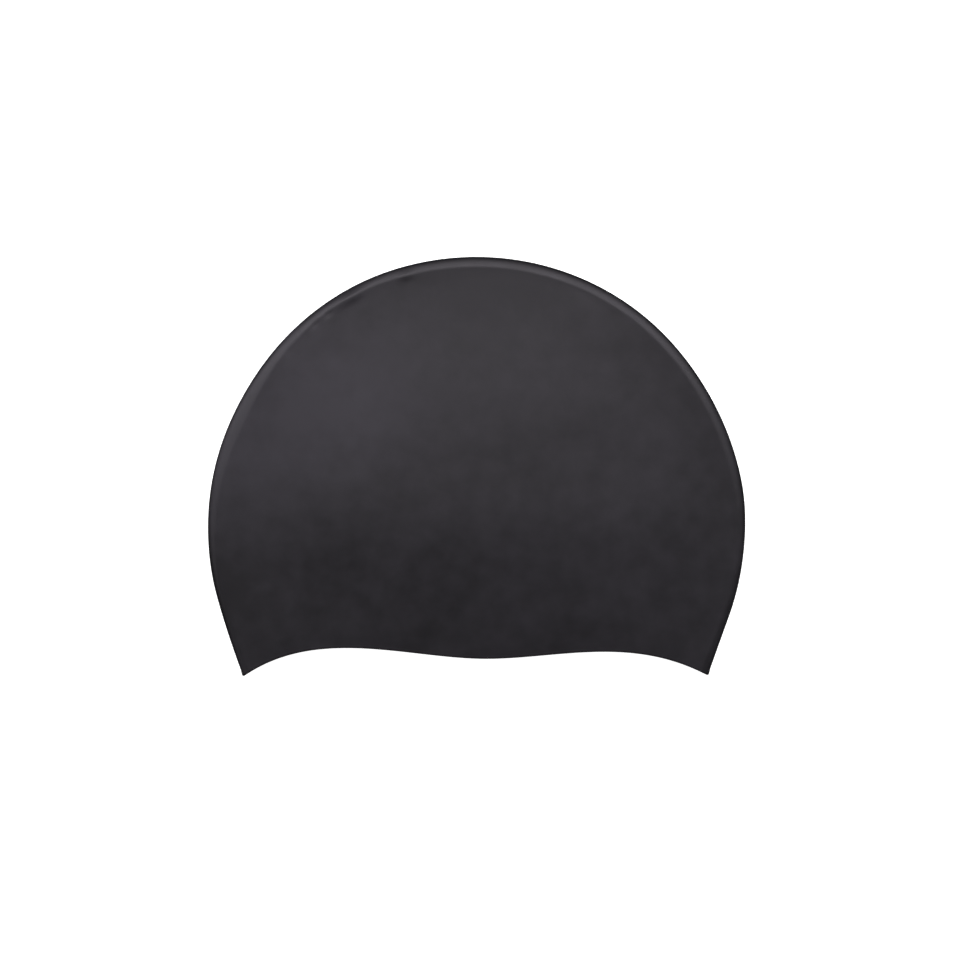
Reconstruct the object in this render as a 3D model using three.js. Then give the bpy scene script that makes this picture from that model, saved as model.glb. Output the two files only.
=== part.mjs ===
// A moulded silicone swim cap, lying on its side on a table, as it is put away between swims.
//
// The cap is one piece of silicone. A lower wall lies on the table, an upper wall stands over it as a
// shallow dome, and the two run into each other round a soft roll, the fold, which goes from one corner
// of the mouth over the crown to the other corner. The mouth is the wavy open edge where the head goes in.
//
// Millimetres. +X is across the cap, +Y runs from the mouth to the crown, +Z is up from the table.
// The origin is under the middle of the cap, on the table.
import * as THREE from "three";
import { mergeVertices } from "three/addons/utils/BufferGeometryUtils.js";

// The shell
const crownRadius = 112.5; // outline of the fold, round the crown
const wall = 1.0; // silicone, everywhere but at the lip
const hollowHeight = 11.0; // clear height between the walls, over the middle of the crown circle
const domePower = 1.75; // 1 is a plain bowl; more lets the upper wall lie flatter near the fold

// The fold, a soft roll where one wall turns over into the other
const foldGap = 3.8; // clear height inside the roll
const foldBend = 3.2; // from the inside of the crease to the roll's crest

// The lip, a thicker round edge all along the mouth, flush with the outside of the walls
const lipThickness = 1.5;
const lipWidth = 2.2; // from the lip's round edge to where the plain wall starts

// The fold leaves the crown circle at flareStart and stands out by flare at the mouth's corner. Both
// turns are degrees from the top of the crown. The mouth's line runs from its dip, near the middle, to
// the corner, and the pulls bend it: along from the dip, and in and up from the corner. Flare, dip and
// pulls are shares of the crown radius, and the dip is measured from the middle of the crown circle.
const dip = { across: 0.0365, down: 0.495 };
const sides = {
  left: {
    hand: -1,
    fold: { flareStart: 105, cornerTurn: 123, flare: 0.035 },
    mouth: { fromDip: 0.285, cornerIn: 0.274, cornerUp: 0.193 },
  },
  right: {
    hand: 1,
    fold: { flareStart: 110, cornerTurn: 123, flare: 0.0275 },
    mouth: { fromDip: 0.264, cornerIn: 0.286, cornerUp: 0.153 },
  },
};
const waveFade = 0.9; // share of the crown radius, up the fold, over which the mouth's wave dies out

// How finely the surface is divided. The walls' shares run from the crest of the roll to the dip.
const rollSteps = 4; // round a quarter of the roll
const lipSteps = 2; // round a quarter of the lip
const lipShares = [0, 0.35, 0.7]; // from the lip's round edge to the plain wall
const fanSteps = 28; // along the fold, from the lip to the crown
const upperShares = [0.02, 0.05, 0.1, 0.16, 0.23, 0.32, 0.42, 0.54, 0.68, 0.84, 1];
const lowerShares = [0.06, 0.14, 0.25, 0.38, 0.52, 0.68, 0.84, 1];

const rollHalfHeight = foldGap / 2 + wall;
const rollReach = foldBend + wall;
const lipRadius = lipThickness / 2;
const lipBand = lipRadius + lipWidth;
const mouthDip = new THREE.Vector2(dip.across, -dip.down).multiplyScalar(crownRadius);

// The fold's outline at a turn from the crown, as a point and an outward normal from the middle of the
// crown circle.
function foldAt(side, turn) {
  const { flareStart, cornerTurn, flare } = side.fold;
  const span = THREE.MathUtils.degToRad(cornerTurn - flareStart);
  const past = Math.max(0, turn - THREE.MathUtils.degToRad(flareStart)) / span;
  const reach = crownRadius * (1 + flare * past * past);
  const growth = (crownRadius * flare * 2 * past) / span;
  const sine = Math.sin(turn);
  const cosine = Math.cos(turn);
  const point = new THREE.Vector2(side.hand * reach * sine, reach * cosine);
  const sideways = reach * sine - growth * cosine;
  const normal = new THREE.Vector2(side.hand * sideways, reach * cosine + growth * sine);
  return { point, normal: normal.normalize() };
}

// Half of the mouth's line, from the dip to a corner.
function mouthLine(side) {
  const { fromDip, cornerIn, cornerUp } = side.mouth;
  const corner = foldAt(side, THREE.MathUtils.degToRad(side.fold.cornerTurn)).point;
  const dipPull = new THREE.Vector2(side.hand * fromDip, 0).multiplyScalar(crownRadius);
  const cornerPull = new THREE.Vector2(-side.hand * cornerIn, cornerUp).multiplyScalar(crownRadius);
  return new THREE.CubicBezierCurve(mouthDip, dipPull.add(mouthDip), cornerPull.add(corner), corner);
}

// A line across a wall, from the dip (along 0) to the fold (along 1). It is the mouth's own line where
// fromCorner, the distance up the fold from the corner, is 0. It keeps level with it across the lip, and
// then swings up to the crown like the stick of a fan, losing the mouth's wave on the way.
function stickAcross(side, fromCorner) {
  const mouth = mouthLine(side);
  const fold = foldAt(side, THREE.MathUtils.degToRad(side.fold.cornerTurn) - fromCorner / crownRadius);
  const inset = Math.min(fromCorner, lipBand);
  const hub = mouthDip.clone().add(new THREE.Vector2(0, inset));
  const wave = Math.max(0, 1 - (fromCorner - inset) / (waveFade * crownRadius)) ** 2;
  const straightAt = (along) => mouth.v0.clone().lerp(mouth.v3, along);
  const bowAt = (along) => mouth.getPoint(along).sub(straightAt(along)).multiplyScalar(wave);
  const straightSpeed = mouth.v3.clone().sub(mouth.v0);
  const cornerSpeed = mouth.v3.clone().sub(mouth.v2).multiplyScalar(3);
  const speed = fold.point.clone().sub(hub).add(cornerSpeed.sub(straightSpeed).multiplyScalar(wave));
  return {
    inset,
    normal: fold.normal,
    depthPerShare: speed.dot(fold.normal),
    at: (along) => hub.clone().lerp(fold.point, along).add(bowAt(along)),
  };
}

// The stations of a wall, from the middle of the fold to the dip: a turn round the roll in degrees, then
// a share of the rest of the way.
function stations(toDip) {
  const turns = Array.from({ length: rollSteps + 1 }, (_, i) => (i / rollSteps) * 90);
  const round = turns.map((turn) => ({ turn, rest: 0 }));
  const onward = toDip.map((share) => ({ turn: 90, rest: share }));
  return [...round, ...onward];
}

// Thickness at a distance in from the mouth's edge, before the edge is rounded.
function thicknessAt(inset) {
  const past = THREE.MathUtils.smoothstep(inset, lipRadius, lipBand);
  return THREE.MathUtils.lerp(lipThickness, wall, past);
}

// Share of the thickness that is left where the mouth's edge is rounded.
function roundedShare(inset) {
  const short = Math.max(0, 1 - inset / lipRadius);
  return Math.sqrt(1 - short * short);
}

// The outer and inner points of one wall at one station of a stick. up is 1 on the upper wall and -1 on
// the lower one, which is flat on the table.
function wallPoints(stick, station, up) {
  const turn = THREE.MathUtils.degToRad(station.turn);
  const thickness = thicknessAt(stick.inset);
  const middleReach = rollReach - wall / 2;
  const middleHalf = rollHalfHeight - thickness / 2;
  const depth = wall / 2 + middleReach * (1 - Math.cos(turn));
  const plan = stick.at((1 - depth / stick.depthPerShare) * (1 - station.rest));

  const onDome = Math.max(0, 1 - plan.lengthSq() / crownRadius ** 2) ** domePower;
  const dome = (hollowHeight - foldGap) * onDome * (1 - Math.cos(turn));
  const rise = up > 0 ? dome : 0;
  const middle = new THREE.Vector3(plan.x, plan.y, rollHalfHeight + up * middleHalf * Math.sin(turn) + rise);

  const outward = new THREE.Vector2(middleHalf * Math.cos(turn), middleReach * Math.sin(turn)).normalize();
  const offset = new THREE.Vector3(stick.normal.x * outward.x, stick.normal.y * outward.x, up * outward.y);
  offset.multiplyScalar((thickness / 2) * roundedShare(stick.inset));
  return { outer: middle.clone().add(offset), inner: middle.clone().sub(offset) };
}

// A section of the shell on one stick: from the dip over the upper wall to the fold, and back below it.
function sectionAt(side, fromCorner) {
  const stick = stickAcross(side, fromCorner);
  const upper = stations(upperShares).map((station) => wallPoints(stick, station, 1));
  const lower = stations(lowerShares).map((station) => wallPoints(stick, station, -1));
  return [...upper.reverse(), ...lower.slice(1)];
}

// Distances up the fold from a corner to the crown: round the lip's edge, across the lip, then even.
function fanDistances(side) {
  const whole = THREE.MathUtils.degToRad(side.fold.cornerTurn) * crownRadius;
  const edgeTurns = Array.from({ length: lipSteps }, (_, i) => ((i / lipSteps) * Math.PI) / 2);
  const edge = edgeTurns.map((turn) => lipRadius * (1 - Math.cos(turn)));
  const lip = lipShares.map((share) => lipRadius + share * lipWidth);
  const fan = Array.from({ length: fanSteps + 1 }, (_, i) => lipBand + (i / fanSteps) * (whole - lipBand));
  return [...edge, ...lip, ...fan];
}

// A closed surface through the sections. Its outer and inner skins meet along the first and the last
// section, which are the mouth's edge, and all the sections meet at the dip.
function skinThrough(sections) {
  const rows = sections[0].length;
  const positions = [];
  const triangles = [];
  for (const skin of ["outer", "inner"]) {
    const first = positions.length / 3;
    for (const point of sections.flat()) {
      positions.push(...point[skin].toArray());
    }
    for (let i = 0; i + 1 < sections.length; i++) {
      for (let j = 0; j + 1 < rows; j++) {
        const a = first + i * rows + j;
        const b = a + rows;
        const faces = [[a, b, a + 1], [b, b + 1, a + 1]];
        triangles.push(...faces.map((face) => (skin === "outer" ? face : face.reverse())));
      }
    }
  }
  const loose = new THREE.BufferGeometry();
  loose.setAttribute("position", new THREE.Float32BufferAttribute(positions, 3));
  loose.setIndex(triangles.flat());
  return withoutFlatFaces(mergeVertices(loose, 1e-3));
}

// The same surface without the triangles that shrank to a line where points were merged.
function withoutFlatFaces(geometry) {
  const index = geometry.getIndex().array;
  const kept = [];
  for (let i = 0; i < index.length; i += 3) {
    const [a, b, c] = index.slice(i, i + 3);
    if (a !== b && b !== c && c !== a) kept.push(a, b, c);
  }
  geometry.setIndex(kept);
  geometry.computeVertexNormals();
  return geometry;
}

function capShell() {
  const left = fanDistances(sides.left).map((distance) => sectionAt(sides.left, distance));
  const right = fanDistances(sides.right).map((distance) => sectionAt(sides.right, distance));
  const silicone = new THREE.MeshStandardMaterial({ color: 0x2a292c, roughness: 0.55, metalness: 0 });
  const mesh = new THREE.Mesh(skinThrough([...left, ...right.reverse().slice(1)]), silicone);
  mesh.name = "cap_shell";
  return mesh;
}

// Moves a piece so that the middle of its plan is over the origin.
function centred(mesh) {
  mesh.geometry.computeBoundingBox();
  const middle = mesh.geometry.boundingBox.getCenter(new THREE.Vector3());
  mesh.position.set(-middle.x, -middle.y, 0);
  return mesh;
}

const swimCap = new THREE.Group();
swimCap.add(centred(capShell()));

export default swimCap;
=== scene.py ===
import math

import bpy
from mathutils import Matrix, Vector


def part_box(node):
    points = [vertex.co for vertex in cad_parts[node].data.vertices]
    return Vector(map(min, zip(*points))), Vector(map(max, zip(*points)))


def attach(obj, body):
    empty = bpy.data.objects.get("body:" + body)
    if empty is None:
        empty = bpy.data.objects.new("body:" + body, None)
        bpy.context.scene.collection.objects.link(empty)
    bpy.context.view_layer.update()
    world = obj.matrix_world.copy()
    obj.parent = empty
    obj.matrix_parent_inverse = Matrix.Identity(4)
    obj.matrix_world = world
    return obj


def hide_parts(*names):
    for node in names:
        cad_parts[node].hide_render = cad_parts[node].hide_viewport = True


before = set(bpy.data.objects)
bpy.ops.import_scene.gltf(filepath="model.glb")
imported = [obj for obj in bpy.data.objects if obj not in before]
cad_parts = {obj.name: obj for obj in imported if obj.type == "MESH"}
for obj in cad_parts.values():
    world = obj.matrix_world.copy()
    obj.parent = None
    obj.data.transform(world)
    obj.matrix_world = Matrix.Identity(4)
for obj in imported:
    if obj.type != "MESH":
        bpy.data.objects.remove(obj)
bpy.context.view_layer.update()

# The cap. One moulding of black silicone, about a millimetre thick, lying on its side: the upper wall
# stands over the lower one as a shallow dome, and the two run into each other round the soft roll of the
# crown fold. Its only edge is the mouth, which ends in a thicker round lip.
mm = 0.001
cap_low, cap_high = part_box("cap_shell")
crown_radius = (cap_high.x - cap_low.x) / 2
wall = 1.0 * mm
swell = 0.6 * mm
cap_sizes = {
    "Crown Radius": crown_radius,
    "Wall": wall,
    "Hollow Height": cap_high.z - 2 * wall - swell,
    "Dome Power": 1.75,  # 1 is a plain bowl; more lets the upper wall lie flatter near the fold
    "Fold Gap": 3.8 * mm,
    "Fold Bend": 3.2 * mm,
    "Roll Turn": math.radians(58),  # how far the roll turns over; the wall runs on at a slight crease
    "Shoulder": 6.3 * mm,  # a strip inside the roll, divided finely for the puckers
    "Lip Thickness": 1.5 * mm,
    "Lip Width": 2.2 * mm,
    "Dip Across": 0.0365 * crown_radius,
    "Dip Down": 0.495 * crown_radius,
    "Wave Fade": 0.9 * crown_radius,
    "Left Flare Start": math.radians(105),
    "Left Corner Turn": math.radians(123),
    "Left Flare": 0.035,
    "Left From Dip": 0.285 * crown_radius,
    "Left Corner In": 0.274 * crown_radius,
    "Left Corner Up": 0.193 * crown_radius,
    "Right Flare Start": math.radians(110),
    "Right Corner Turn": math.radians(123),
    "Right Flare": 0.0275,
    "Right From Dip": 0.264 * crown_radius,
    "Right Corner In": 0.286 * crown_radius,
    "Right Corner Up": 0.153 * crown_radius,
    "Swell": swell,  # a low rise of the upper wall, right across the cap
    "Swell Length": 22 * mm,
    "Sag": 0.22 * mm,
    "Ripple": 0.09 * mm,
    "Lip Wave": 0.6 * mm,
    "Seed": 7.0,
}
sags_per_metre = 16
ripples_per_metre = 50
lip_waves_per_metre = 13
sag_start = 8 * mm  # in from the roll, over which the sag sets in
lip_wave_reach = 28 * mm  # in from the mouth, over which the lip's wave dies out
weld = 0.004 * mm

# Rows run over the cap from the dip of the mouth, over the upper wall and the fold, to the dip again
# below. Columns run from one corner of the mouth round the fold to the other.
roll_rows = 14
shoulder_rows = 10
upper_rows = 60
lower_rows = 26
edge_columns = 5
lip_columns = 7
fan_columns = 150

# Where the roll is wider or narrower, where its outline is pressed in or stands out, and the small puckers
# that its inner edge has. Turns are degrees round the fold from the crown, those to the right above 0. All
# the rest is millimetres: a width goes along the fold, and a pucker's depth and length go in from it.
spreads = [
    {"turn": -108.0, "width": 40.0, "more": -1.6},
    {"turn": -65.0, "width": 24.0, "more": 1.6},
    {"turn": -30.0, "width": 24.0, "more": -0.7},
    {"turn": 104.0, "width": 44.0, "more": -1.6},
]
flats = [
    {"turn": -60.0, "width": 32.0, "in": 0.64},
    {"turn": 58.0, "width": 32.0, "in": 0.62},
    {"turn": 84.0, "width": 16.0, "in": -0.30},
    {"turn": -104.0, "width": 20.0, "in": -0.25},
    {"turn": -24.0, "width": 22.0, "in": -0.18},
]
puckers = [
    {"turn": -46.5, "depth": 4.6, "width": 2.4, "length": 1.8, "sink": 0.10},
    {"turn": -41.0, "depth": 2.6, "width": 1.6, "length": 1.4, "sink": -0.05},
    {"turn": -38.4, "depth": 4.5, "width": 1.3, "length": 1.4, "sink": 0.30},
    {"turn": -34.6, "depth": 4.5, "width": 1.4, "length": 1.4, "sink": 0.34},
    {"turn": -28.4, "depth": 4.0, "width": 5.2, "length": 1.8, "sink": -0.44},
    {"turn": -15.5, "depth": 4.2, "width": 2.8, "length": 1.7, "sink": -0.30},
    {"turn": 24.0, "depth": 5.4, "width": 5.0, "length": 1.8, "sink": 0.07},
    {"turn": 38.0, "depth": 4.6, "width": 3.0, "length": 1.8, "sink": 0.06},
    {"turn": 58.0, "depth": 4.6, "width": 4.0, "length": 2.0, "sink": 0.08},
]


class Graph:
    """A node tree as it is drawn up. Each node gets its settings first, then its sockets' values or links."""

    def __init__(self, tree):
        self.tree = tree

    def node(self, kind, settings=None, sockets=None, output=0):
        made = self.tree.nodes.new(kind)
        for name, value in (settings or {}).items():
            setattr(made, name, value)
        for name, value in (sockets or {}).items():
            if isinstance(value, Amount):
                self.tree.links.new(value.source, made.inputs[name])
            else:
                made.inputs[name].default_value = value
        return Amount(self, made.outputs[output])


class Amount:
    """What comes out of a node. Sums, products and powers of it add Math nodes."""

    def __init__(self, graph, source):
        self.graph = graph
        self.source = source

    def maths(self, operation, *values, clamp=False):
        sockets = dict(enumerate(values))
        return self.graph.node("ShaderNodeMath", {"operation": operation, "use_clamp": clamp}, sockets)

    def __add__(self, other):
        return self.maths("ADD", self, other)

    def __radd__(self, other):
        return self.maths("ADD", other, self)

    def __sub__(self, other):
        return self.maths("SUBTRACT", self, other)

    def __rsub__(self, other):
        return self.maths("SUBTRACT", other, self)

    def __mul__(self, other):
        return self.maths("MULTIPLY", self, other)

    def __rmul__(self, other):
        return self.maths("MULTIPLY", other, self)

    def __truediv__(self, other):
        return self.maths("DIVIDE", self, other)

    def __rtruediv__(self, other):
        return self.maths("DIVIDE", other, self)

    def __neg__(self):
        return self.maths("MULTIPLY", self, -1)

    def __abs__(self):
        return self.maths("ABSOLUTE", self)

    def clamped(self):
        return self.maths("ADD", self, 0, clamp=True)

    def squared(self):
        return self.maths("MULTIPLY", self, self)

    def root(self):
        return self.maths("SQRT", self)

    def power(self, exponent):
        return self.maths("POWER", self, exponent)

    def sine(self):
        return self.maths("SINE", self)

    def cosine(self):
        return self.maths("COSINE", self)

    def hump(self):
        """1 where this is 0, falling away smoothly on both sides."""
        return self.maths("EXPONENT", -self.squared())

    def at_least(self, least):
        return self.maths("MAXIMUM", self, least)

    def at_most(self, most):
        return self.maths("MINIMUM", self, most)

    def over(self, limit):
        return self.maths("GREATER_THAN", self, limit)

    def smooth_step(self):
        rising = self.clamped()
        return rising.squared() * (3 - 2 * rising)


def cap_tree():
    """Geometry Nodes for the shell: a grid laid over the middle of the wall, then a skin on each side."""
    tree = bpy.data.node_groups.new("cap shell", "GeometryNodeTree")
    tree.is_modifier = True
    for name, value in cap_sizes.items():
        socket = tree.interface.new_socket(name, in_out="INPUT", socket_type="NodeSocketFloat")
        socket.default_value = value
    tree.interface.new_socket("Silicone", in_out="INPUT", socket_type="NodeSocketMaterial")
    tree.interface.new_socket("Cap", in_out="OUTPUT", socket_type="NodeSocketGeometry")
    graph = Graph(tree)
    given = tree.nodes.new("NodeGroupInput").outputs
    size = {name: Amount(graph, given[name]) for name in cap_sizes}

    # The grid. Each point's column and row are whole numbers counted from the crown and the fold.
    half_columns = edge_columns + lip_columns + fan_columns
    bend_rows = roll_rows + shoulder_rows
    columns = 2 * half_columns
    rows = upper_rows + lower_rows + 2 * bend_rows
    grid = graph.node("GeometryNodeMeshGrid", None, {
        "Size X": columns, "Size Y": rows, "Vertices X": columns + 1, "Vertices Y": rows + 1,
    })
    place = graph.node("GeometryNodeInputPosition")
    across = graph.node("ShaderNodeSeparateXYZ", None, {0: place}, output=0)
    along = graph.node("ShaderNodeSeparateXYZ", None, {0: place}, output=1)
    row = along + (rows / 2 - upper_rows - bend_rows)
    is_right = across.over(0)
    is_upper = 1 - row.over(0)
    hand = 2 * is_right - 1
    up = 2 * is_upper - 1

    def by_side(name):
        left = size["Left " + name]
        return left + (size["Right " + name] - left) * is_right

    # How far this column is up the fold from its corner of the mouth.
    radius = size["Crown Radius"]
    wall_now = size["Wall"]
    lip_radius = size["Lip Thickness"] / 2
    lip_band = lip_radius + size["Lip Width"]
    corner_turn = by_side("Corner Turn")
    from_edge = half_columns - abs(across)
    edge_turn = (from_edge / edge_columns).clamped() * (math.pi / 2)
    past_edge = ((from_edge - edge_columns) / lip_columns).clamped()
    past_lip = ((from_edge - edge_columns - lip_columns) / fan_columns).clamped()
    from_corner = lip_radius * (1 - edge_turn.cosine()) + size["Lip Width"] * past_edge
    from_corner = from_corner + (corner_turn * radius - lip_band) * past_lip

    # The fold's outline there, with its outward normal.
    flare = by_side("Flare")
    flare_start = by_side("Flare Start")
    turn = corner_turn - from_corner / radius
    along_fold = hand * turn * radius
    span = corner_turn - flare_start
    past = ((turn - flare_start) / span).at_least(0)
    reach = radius * (1 + flare * past.squared())
    for flat in flats:
        sideways = (along_fold - radius * math.radians(flat["turn"])) / (flat["width"] * mm)
        reach = reach - flat["in"] * mm * sideways.hump()
    growth = 2 * radius * flare * past / span
    fold_x = hand * reach * turn.sine()
    fold_y = reach * turn.cosine()
    normal_x = hand * (reach * turn.sine() - growth * turn.cosine())
    normal_y = reach * turn.cosine() + growth * turn.sine()
    normal_length = (normal_x.squared() + normal_y.squared()).root()
    normal_x = normal_x / normal_length
    normal_y = normal_y / normal_length

    # The mouth's line from the dip to that corner, and how fast it goes where it gets there.
    corner_reach = radius * (1 + flare)
    corner_x = hand * corner_reach * corner_turn.sine()
    corner_y = corner_reach * corner_turn.cosine()
    dip_x = size["Dip Across"]
    dip_y = -size["Dip Down"]
    pull_x = dip_x + hand * by_side("From Dip")
    pull_y = dip_y
    bend_x = corner_x - hand * by_side("Corner In")
    bend_y = corner_y + by_side("Corner Up")
    inset = from_corner.at_most(lip_band)
    hub_y = dip_y + inset
    wave = (1 - (from_corner - inset) / size["Wave Fade"]).at_least(0).squared()
    speed_x = fold_x - dip_x + (3 * (corner_x - bend_x) - (corner_x - dip_x)) * wave
    speed_y = fold_y - hub_y + (3 * (corner_y - bend_y) - (corner_y - dip_y)) * wave
    depth_per_share = speed_x * normal_x + speed_y * normal_y

    # The stations of a row: round the roll, over the shoulder inside it, then on to the dip.
    from_fold = abs(row)
    bend = (from_fold / roll_rows).clamped() * size["Roll Turn"]
    on_shoulder = ((from_fold - roll_rows) / shoulder_rows).clamped()
    panel_rows = lower_rows + (upper_rows - lower_rows) * is_upper
    on_panel = ((from_fold - bend_rows) / panel_rows).clamped()
    past_round = ((inset - lip_radius) / size["Lip Width"]).smooth_step()
    thickness = size["Lip Thickness"] + (wall_now - size["Lip Thickness"]) * past_round
    half_height = size["Fold Gap"] / 2 + wall_now
    roll_reach = size["Fold Bend"] + wall_now
    for spread in spreads:
        sideways = (along_fold - radius * math.radians(spread["turn"])) / (spread["width"] * mm)
        roll_reach = roll_reach + spread["more"] * mm * sideways.hump()
    middle_reach = roll_reach - wall_now / 2
    middle_half = half_height - thickness / 2
    round_roll = (1 - bend.cosine()) / (1 - size["Roll Turn"].cosine())
    up_roll = bend.sine() / size["Roll Turn"].sine()
    depth = wall_now / 2 + middle_reach * round_roll + on_shoulder * size["Shoulder"]
    share = (1 - depth / depth_per_share) * (1 - on_panel)

    # Where that station is in plan: on the line from the dip to the fold, bowed as the mouth is.
    rest = 1 - share
    first = 3 * rest.squared() * share
    second = 3 * rest * share.squared()
    last = share.squared() * share
    bow_x = first * (pull_x - dip_x) + second * (bend_x - dip_x) + (last - share) * (corner_x - dip_x)
    bow_y = first * (pull_y - dip_y) + second * (bend_y - dip_y) + (last - share) * (corner_y - dip_y)
    plan_x = dip_x + (fold_x - dip_x) * share + bow_x * wave
    plan_y = hub_y + (fold_y - hub_y) * share + bow_y * wave

    # How high it is: the dome, the puckers inside the roll, and the sag of soft rubber.
    on_dome = (1 - (plan_x.squared() + plan_y.squared()) / radius.squared()).at_least(0)
    dome = (size["Hollow Height"] - size["Fold Gap"]) * on_dome.power(size["Dome Power"]) * round_roll
    in_from_fold = (1 - share) * depth_per_share
    soft_place = graph.node("ShaderNodeCombineXYZ", None, {0: plan_x, 1: plan_y})

    def soft_noise(per_metre, shift):
        """Between -1 and 1 over the plan. Each shift gives another pattern of the same seed."""
        made = graph.node("ShaderNodeTexNoise", {"noise_dimensions": "4D"}, {
            "Vector": soft_place, "W": size["Seed"] + shift, "Scale": per_metre, "Detail": 1.0,
        })
        return 2 * made - 1

    swell_now = size["Swell"] * (plan_y / size["Swell Length"]).hump() * on_dome
    sag = swell_now + size["Sag"] * soft_noise(sags_per_metre, 0)
    sag = sag + size["Ripple"] * soft_noise(ripples_per_metre, 3)
    sag = sag * ((in_from_fold - roll_reach) / sag_start).smooth_step()
    near_mouth = ((plan_y - dip_y) / lip_wave_reach).hump()
    lip_wave = size["Lip Wave"] * soft_noise(lip_waves_per_metre, 5) * near_mouth * on_dome
    sunk = 0
    for pucker in puckers:
        sideways = (along_fold - radius * math.radians(pucker["turn"])) / (pucker["width"] * mm)
        inward = (in_from_fold - pucker["depth"] * mm) / (pucker["length"] * mm)
        sunk = pucker["sink"] * mm * sideways.hump() * inward.hump() + sunk
    rise = (dome + (sag + lip_wave - sunk) * up_roll) * is_upper
    height = half_height + up * middle_half * up_roll + rise

    # The middle of the wall, then a skin half a thickness away on each side, closed at the lip.
    short = (1 - inset / lip_radius).at_least(0)
    half_wall = thickness / 2 * (1 - short.squared()).root()
    kept = graph.node("GeometryNodeStoreNamedAttribute", {"data_type": "FLOAT", "domain": "POINT"}, {
        "Geometry": grid, "Name": "half_wall", "Value": half_wall,
    })
    centre_x = (cap_low.x + cap_high.x) / 2
    centre_y = cap_high.y - crown_radius
    laid = graph.node("GeometryNodeSetPosition", None, {
        "Geometry": kept,
        "Position": graph.node("ShaderNodeCombineXYZ", None, {
            0: plan_x + centre_x, 1: plan_y + centre_y, 2: height,
        }),
    })
    middle = graph.node("GeometryNodeMergeByDistance", None, {"Geometry": laid, "Distance": weld})
    half = graph.node("GeometryNodeInputNamedAttribute", {"data_type": "FLOAT"}, {"Name": "half_wall"})
    facing = graph.node("GeometryNodeInputNormal")

    def skin(way):
        offset = graph.node("ShaderNodeVectorMath", {"operation": "SCALE"}, {0: facing, "Scale": way * half})
        return graph.node("GeometryNodeSetPosition", None, {"Geometry": middle, "Offset": offset})

    inner = graph.node("GeometryNodeFlipFaces", None, {"Mesh": skin(-1)})
    both = tree.nodes.new("GeometryNodeJoinGeometry")
    for piece in (inner, skin(1)):
        tree.links.new(piece.source, both.inputs[0])
    closed = graph.node("GeometryNodeMergeByDistance", None, {
        "Geometry": Amount(graph, both.outputs[0]), "Distance": weld,
    })

    # Nothing reaches below the table.
    height_now = graph.node("ShaderNodeSeparateXYZ", None, {0: place}, output=2)
    lift = (-height_now).at_least(0)
    seated = graph.node("GeometryNodeSetPosition", None, {
        "Geometry": closed, "Offset": graph.node("ShaderNodeCombineXYZ", None, {2: lift}),
    })
    smooth = graph.node("GeometryNodeSetShadeSmooth", None, {"Geometry": seated, "Shade Smooth": True})
    real = graph.node("GeometryNodeRealizeInstances", None, {"Geometry": smooth})
    coloured = graph.node("GeometryNodeSetMaterial", None, {
        "Geometry": real, "Material": Amount(graph, given["Silicone"]),
    })
    tree.links.new(coloured.source, tree.nodes.new("NodeGroupOutput").inputs["Cap"])
    return tree


def black_silicone():
    """Matt black moulded silicone: a fine mould texture, a soft cloudy paleness, painted light on the upper
    left and painted shade in two places.
    """
    material = bpy.data.materials.new("black silicone")
    material.use_nodes = True
    tree = material.node_tree
    graph = Graph(tree)
    surface = tree.nodes["Principled BSDF"]
    surface.inputs["IOR"].default_value = 1.45
    surface.inputs["Specular Tint"].default_value = (0.93, 0.88, 0.965, 1)
    place = graph.node("ShaderNodeTexCoord", output=3)

    left_right = graph.node("ShaderNodeSeparateXYZ", None, {0: place}, output=0)
    front_back = graph.node("ShaderNodeSeparateXYZ", None, {0: place}, output=1)

    def patch(x, y, width):
        """1 at a place on the cap, in millimetres, falling away softly round it."""
        sideways = (left_right - x * mm) / (width * mm)
        lengthways = (front_back - y * mm) / (width * mm)
        return sideways.hump() * lengthways.hump()

    def noise(per_metre, detail, roughness=0.5):
        return graph.node("ShaderNodeTexNoise", None, {
            "Vector": place, "Scale": per_metre, "Detail": detail, "Roughness": roughness,
        })

    # The colour's mix, 0 at its darkest and 1 where it is palest: a cloudy random tone, lifted by painted
    # light on the upper left and lowered by painted shade near the top inside the fold and towards the lower
    # left.
    cloud = noise(22, 3)
    mottle = noise(110, 4, 0.6)
    # Painted light: a lighter patch on the upper left and the left middle, where the softbox beyond the crown
    # falls strongest.
    painted_light_patch = patch(-60, 26, 36) + 0.6 * patch(-96, 4, 26)
    # Painted shade: darker patches just inside the fold at the top and towards the lower left corner.
    painted_shade_patch = 1.4 * patch(4, 80, 38) + 1.3 * patch(-102, -52, 15)
    tone_and_painted_shading = 0.25 + 1.65 * (cloud * 0.5 + mottle * 0.5 - 0.5) + 0.7 * painted_light_patch - 0.25 * painted_shade_patch
    colour = graph.node("ShaderNodeMix", {"data_type": "RGBA"}, {
        0: tone_and_painted_shading.clamped(), 6: (0.0042, 0.0038, 0.0048, 1), 7: (0.0181, 0.0163, 0.0209, 1),
    }, output=2)
    tree.links.new(colour.source, surface.inputs["Base Color"])

    # The mould's texture: how matt it is from place to place, and its grain.
    roughness = 0.49 + 0.12 * (mottle - 0.5) + 0.06 * (cloud - 0.5)
    tree.links.new(roughness.source, surface.inputs["Roughness"])
    grain = noise(2600, 2) * 0.6 + noise(420, 3) * 0.4
    grain_depth = 0.05 * mm
    bump = graph.node("ShaderNodeBump", None, {"Strength": 0.25, "Distance": grain_depth, "Height": grain})
    tree.links.new(bump.source, surface.inputs["Normal"])
    return material


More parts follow.
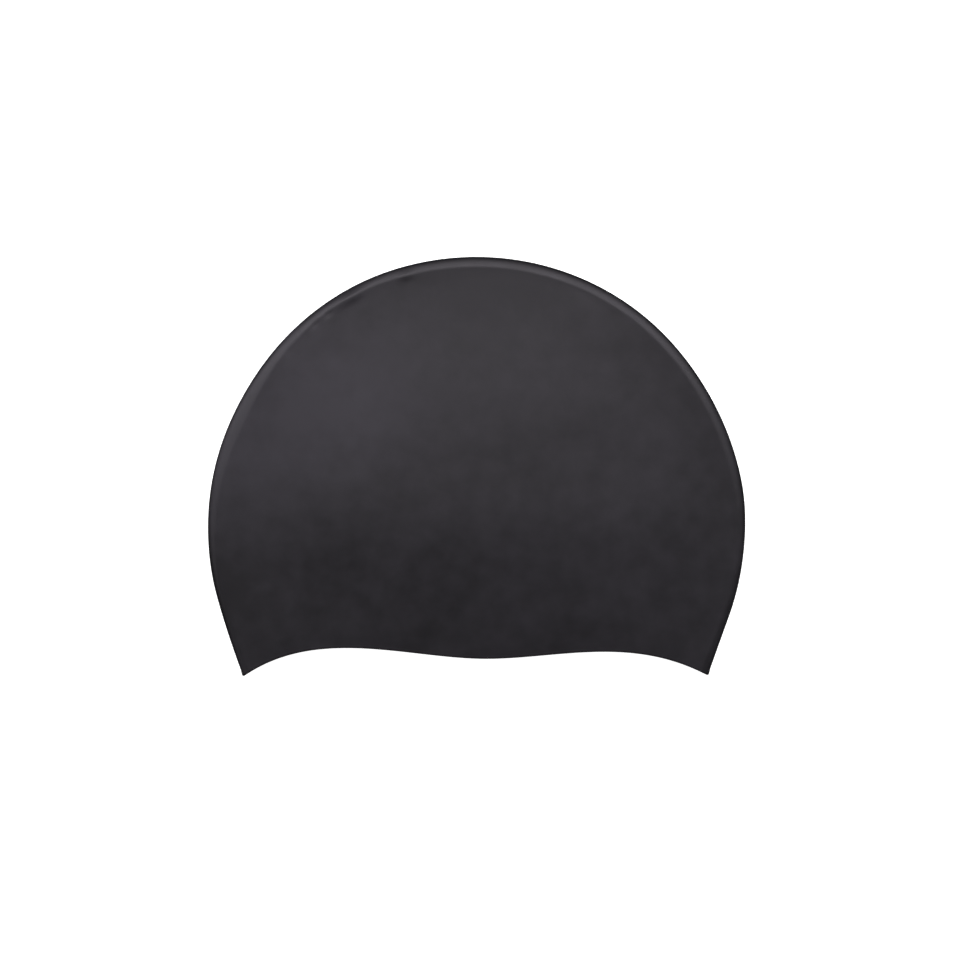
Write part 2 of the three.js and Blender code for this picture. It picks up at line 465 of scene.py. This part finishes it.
cap = bpy.data.objects.new("swim_cap", bpy.data.meshes.new("swim_cap"))
bpy.context.scene.collection.objects.link(cap)
shaping = cap.modifiers.new("shell", "NODES")
shaping.node_group = cap_tree()
sockets = shaping.node_group.interface.items_tree
inputs = {socket.name: socket.identifier for socket in sockets if socket.in_out == "INPUT"}
for name, value in cap_sizes.items():
    shaping[inputs[name]] = value
shaping[inputs["Silicone"]] = black_silicone()
bpy.context.view_layer.update()
shell = bpy.data.meshes.new_from_object(cap.evaluated_get(bpy.context.evaluated_depsgraph_get()))
cap.modifiers.remove(shaping)
cap.data = shell
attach(cap, "root")
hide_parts("cap_shell")

# The table. A wide round sheet of white acrylic that the cap lies on, lit from below as a product table is,
# so that it stays white right up to the cap. Far out it sweeps up all round to make the backdrop. The cap
# takes its gloss from the softboxes and walls alone, so the sheet isn't seen in it.
flat_radius = 5.0
sweep_radius = 3.0
sweep_steps = 8
sheet_sides = 64
sheet = bpy.data.meshes.new("white_table")
rim = [(flat_radius, 0.0)]
for step in range(1, sweep_steps + 1):
    bend = math.pi / 2 * step / sweep_steps
    rim.append((flat_radius + sweep_radius * math.sin(bend), sweep_radius * (1 - math.cos(bend))))
points = []
for reach, height in rim:
    for side in range(sheet_sides):
        angle = 2 * math.pi * side / sheet_sides
        points.append((reach * math.cos(angle), reach * math.sin(angle), height))
faces = [list(range(sheet_sides))]
for ring in range(sweep_steps):
    for side in range(sheet_sides):
        after = (side + 1) % sheet_sides
        low = ring * sheet_sides
        high = low + sheet_sides
        faces.append([low + side, high + side, high + after, low + after])
sheet.from_pydata(points, [], faces)
table = bpy.data.objects.new("white_table", sheet)
bpy.context.scene.collection.objects.link(table)
acrylic = bpy.data.materials.new("lit white acrylic")
acrylic.use_nodes = True
acrylic_surface = acrylic.node_tree.nodes["Principled BSDF"].inputs
acrylic_surface["Base Color"].default_value = (0.8, 0.8, 0.8, 1)
acrylic_surface["Roughness"].default_value = 0.9
acrylic_surface["Emission Color"].default_value = (1, 1, 1, 1)
acrylic_surface["Emission Strength"].default_value = 0.94
sheet.materials.append(acrylic)
acrylic.cycles.emission_sampling = "NONE"
table.visible_glossy = False

# The light. One wide softbox hangs beyond the crown, rather to the left, with a weak one at each side and
# one beyond the mouth. The studio's walls are dim, and it is dark below the height of the table. The
# softboxes' places and sizes are metres, and their powers are watts.
studio = bpy.data.worlds.new("studio")
studio.use_nodes = True
studio_graph = Graph(studio.node_tree)
way = studio_graph.node("ShaderNodeTexCoord", output=0)
way_up = studio_graph.node("ShaderNodeSeparateXYZ", None, {0: way}, output=2)
night = 0.01
wall_glow = 0.14
haze_top = 0.125  # how far above level a wall is at its full glow, 1 being straight up
walls = night + wall_glow * (way_up / haze_top).smooth_step()
studio.node_tree.nodes["Background"].inputs["Color"].default_value = (1, 1, 1, 1)
studio.node_tree.links.new(walls.source, studio.node_tree.nodes["Background"].inputs["Strength"])
bpy.context.scene.world = studio
softboxes = [
    {"name": "crown softbox", "place": (-0.2, 0.78, 1.0), "width": 3.0, "depth": 0.66, "power": 36.5},
    {"name": "left softbox", "place": (-1.5, -0.1, 0.8), "width": 0.6, "depth": 0.8, "power": 4},
    {"name": "right softbox", "place": (1.5, 0.0, 0.9), "width": 0.6, "depth": 0.8, "power": 2},
    {"name": "mouth softbox", "place": (0.0, -1.4, 1.0), "width": 1.8, "depth": 0.5, "power": 2.4},
]
for row in softboxes:
    lamp = bpy.data.lights.new(row["name"], "AREA")
    lamp.shape = "RECTANGLE"
    lamp.size = row["width"]
    lamp.size_y = row["depth"]
    lamp.energy = row["power"]
    holder = bpy.data.objects.new(row["name"], lamp)
    holder.location = row["place"]
    bpy.context.scene.collection.objects.link(holder)

# The camera. It hangs straight above the cap, with a long lens and the crown to the top of the picture, and
# is as high as makes the view of the set width at the fold's height.
lens = 135
film = 36
view_width = 402.1 * mm
view_middle = Vector((1.50, -5.70)) * mm
fold_height = cap_sizes["Fold Gap"] / 2 + cap_sizes["Wall"]
camera = bpy.data.objects.new("camera", bpy.data.cameras.new("camera"))
camera.data.lens = lens
camera.data.sensor_width = film
camera.location = (view_middle.x, view_middle.y, fold_height + view_width * lens / film)
bpy.context.scene.collection.objects.link(camera)
bpy.context.scene.camera = camera
bpy.context.scene.view_settings.view_transform = "Standard"
